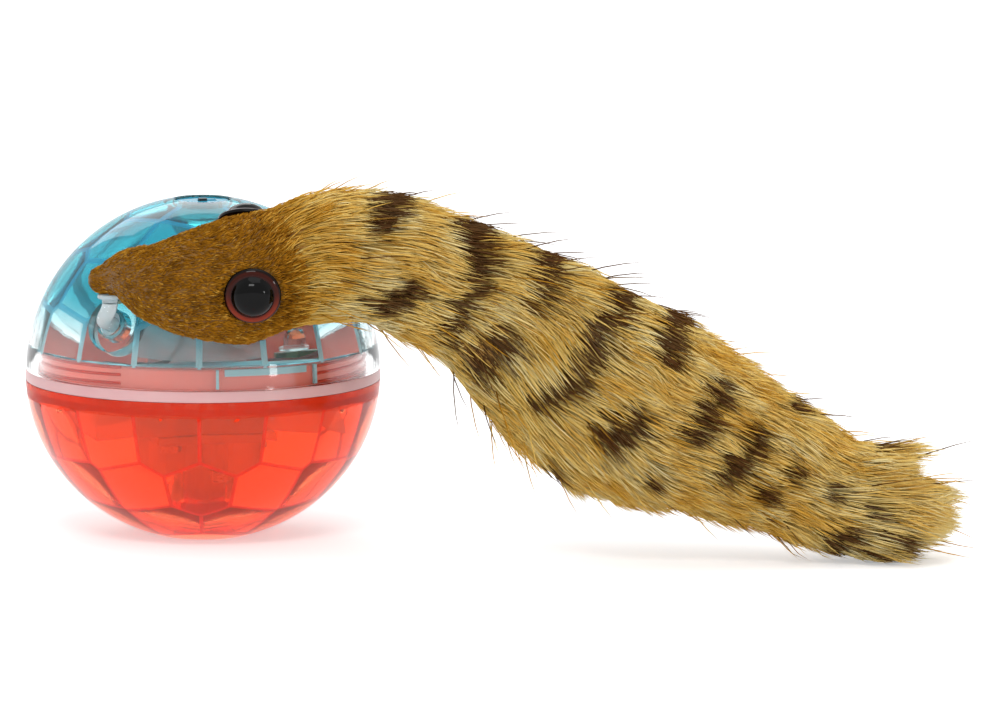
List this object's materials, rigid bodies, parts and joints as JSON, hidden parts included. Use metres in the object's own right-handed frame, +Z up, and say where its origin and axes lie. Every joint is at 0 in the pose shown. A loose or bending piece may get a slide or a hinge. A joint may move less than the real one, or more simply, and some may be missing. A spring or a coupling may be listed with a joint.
{
  "type": "interactive ball cat toy",
  "caption": "Clear ball in two twisted-together halves with an off-centre motor unit inside, towing a stuffed weasel that swivels on a nose clip.",
  "frame": {"origin": "centre of the small flat under the ball, on the floor", "axes": "+Z up through both poles of the ball, +X from the ball towards the weasel's tail, +Y away from the viewer of the picture, so the weasel lies on the -Y side"},
  "size_m": [0.2145, 0.1057, 0.0852],
  "materials": {
    "clear_red_shell": "clear tinted, polished outside, faceted inside",
    "clear_blue_shell": "clear tinted, polished outside, faceted inside",
    "pale_seal": "frosted clear",
    "clear_grey_plastic": "clear, lightly smoked",
    "white_gear_plastic": "satin moulded",
    "white_plastic": "satin moulded",
    "black_plastic": "satin moulded",
    "velour": "short brushed pile, ochre brown",
    "long_pile": "long pile, golden with dark brown bands",
    "amber_eye": "glossy amber round a black pupil",
    "cell": "printed foil jacket, plain",
    "motor_can": "plated can",
    "nickel": "nickel plated spring metal",
    "brass": "bare brass",
    "steel": "zinc plated",
    "board": "green solder mask",
    "clear_lamp": "clear lens",
    "red_wire": "insulated wire",
    "black_wire": "insulated wire"
  },
  "bodies": {
    "lower_half": {"lower_shell": "clear_red_shell", "output_shaft": "white_gear_plastic", "output_gear": "white_gear_plastic"},
    "gasket_ring": {"seam_gasket": "pale_seal"},
    "upper_half": {"upper_shell": "clear_blue_shell"},
    "plush_toy": {"plush_head": "velour", "plush_forebody": "long_pile", "plush_hindbody": "long_pile", "plush_tail": "long_pile", "near_eye": "amber_eye", "far_eye": "amber_eye", "near_eye_washer": "white_plastic", "far_eye_washer": "white_plastic", "nose_clip": "white_plastic"},
    "rotor": {"motor_shaft": "steel", "motor_pinion": "brass"},
    "first_gear_body": {"first_gear": "white_gear_plastic"},
    "second_gear_body": {"second_gear": "white_gear_plastic"},
    "switch_knob": {"switch_slider": "black_plastic"},
    "drive_unit": {"gear_case": "clear_grey_plastic", "deck_plate": "clear_grey_plastic", "battery_tray": "clear_grey_plastic", "battery_cell": "cell", "plate_contact": "nickel", "coil_contact": "nickel", "motor_can": "motor_can", "motor_cap": "white_plastic", "motor_terminal_left": "brass", "motor_terminal_right": "brass", "motor_cover": "clear_grey_plastic", "first_pin": "steel", "second_pin": "steel", "case_screw_1": "steel", "case_screw_2": "steel", "case_screw_3": "steel", "tray_screw_1": "steel", "tray_screw_2": "steel", "output_bush": "brass", "switch_body": "nickel", "switch_cap": "clear_grey_plastic", "red_wire": "red_wire", "black_wire": "black_wire", "motor_wire": "red_wire", "light_board": "board", "lamp_left": "clear_lamp", "lamp_right": "clear_lamp"}
  },
  "joints": [
    {"name": "twist_lock", "type": "hinge", "parent": "lower_half", "child": "gasket_ring", "pos_m": [0, 0, 0.03747], "axis": [0, 0, 1], "range_deg": [0, 60]},
    {"name": "lift_off", "type": "slide", "parent": "gasket_ring", "child": "upper_half", "axis": [0, 0, 1], "range_m": [0, 0.06]},
    {"name": "clip_swivel", "type": "hinge", "parent": "upper_half", "child": "plush_toy", "pos_m": [-0.0189, -0.02834, 0.05193], "axis": [-0.5107, -0.7658, 0.3907], "continuous": true},
    {"name": "drive_spin", "type": "hinge", "parent": "lower_half", "child": "drive_unit", "pos_m": [0, 0, 0.03747], "axis": [0, 0, 1], "continuous": true},
    {"name": "second_gear_spin", "type": "hinge", "parent": "drive_unit", "child": "second_gear_body", "pos_m": [-0.0034, -0.00612, 0.02347], "axis": [0, 0, 1], "continuous": true},
    {"name": "first_gear_spin", "type": "hinge", "parent": "drive_unit", "child": "first_gear_body", "pos_m": [-0.00735, 0.00083, 0.02347], "axis": [0, 0, 1], "continuous": true},
    {"name": "rotor_spin", "type": "hinge", "parent": "drive_unit", "child": "rotor", "pos_m": [-0.00137, 0.00615, 0.02347], "axis": [0, 0, 1], "continuous": true},
    {"name": "switch_slide", "type": "slide", "parent": "drive_unit", "child": "switch_knob", "axis": [0.9759, 0.2181, 0], "range_m": [0, 0.002]}
  ],
  "couplings": [
    {"joint": "second_gear_spin", "follows": "drive_spin", "ratio": 2.5},
    {"joint": "first_gear_spin", "follows": "drive_spin", "ratio": -7.5},
    {"joint": "rotor_spin", "follows": "drive_spin", "ratio": 22.5}
  ]
}
